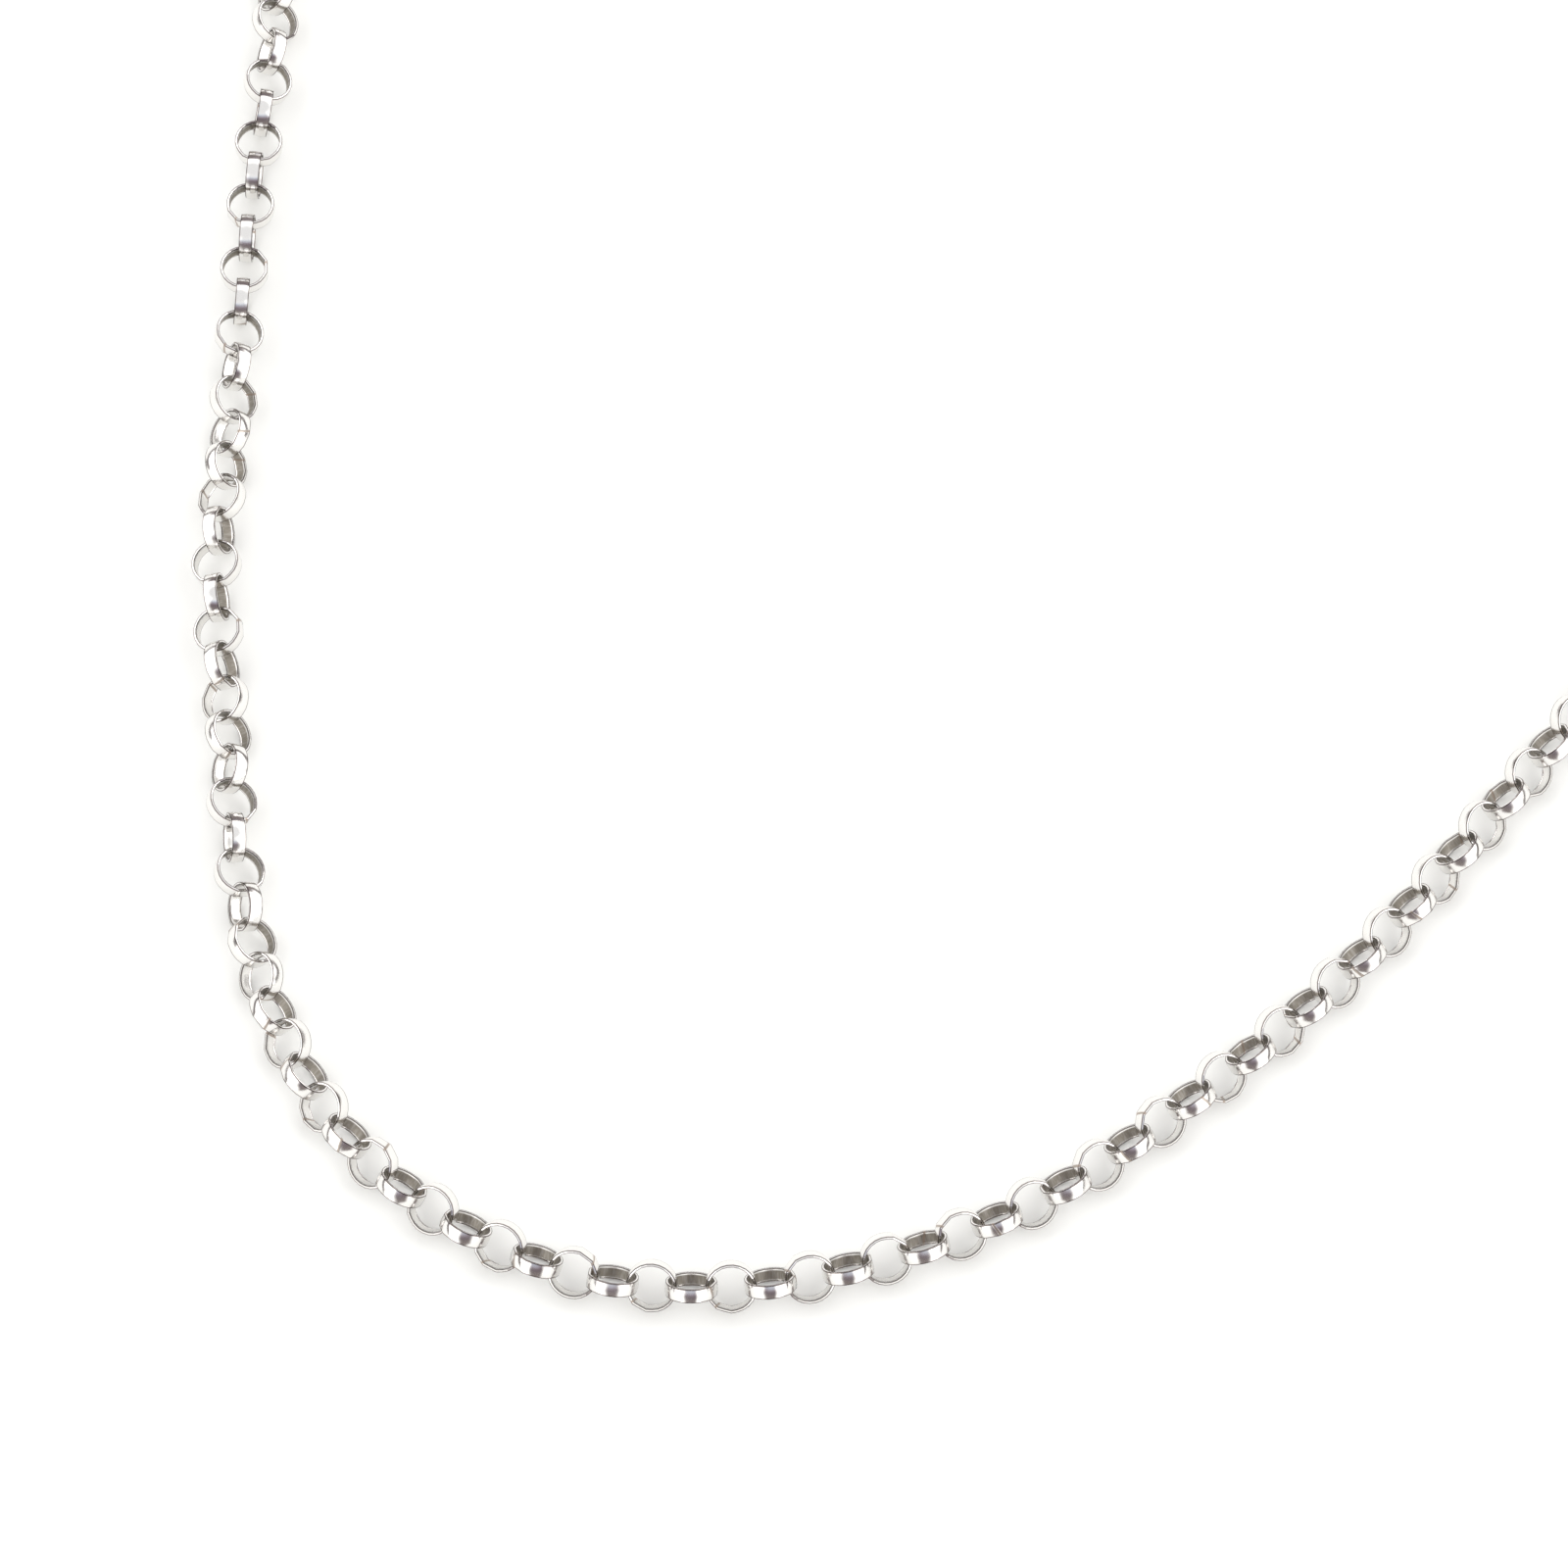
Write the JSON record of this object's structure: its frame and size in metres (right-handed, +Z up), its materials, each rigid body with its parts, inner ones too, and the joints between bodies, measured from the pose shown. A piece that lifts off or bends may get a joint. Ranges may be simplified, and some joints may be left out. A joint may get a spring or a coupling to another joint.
{
  "type": "rolo chain necklace",
  "caption": "Closed rolo chain necklace of round half-round-band links with a round clasp, lying flat in a long loop.",
  "frame": {"origin": "middle of the loop, on the surface that it lies on", "axes": "+X to the right and +Y towards the back of the neck, as the picture shows it, +Z up from the surface"},
  "size_m": [0.1116, 0.1725, 0.003],
  "materials": {
    "silver": "polished sterling silver"
  },
  "bodies": {
    "root": {"chain": "silver", "jump_ring": "silver", "catch_ring": "silver", "clasp": "silver"}
  },
  "joints": []
}
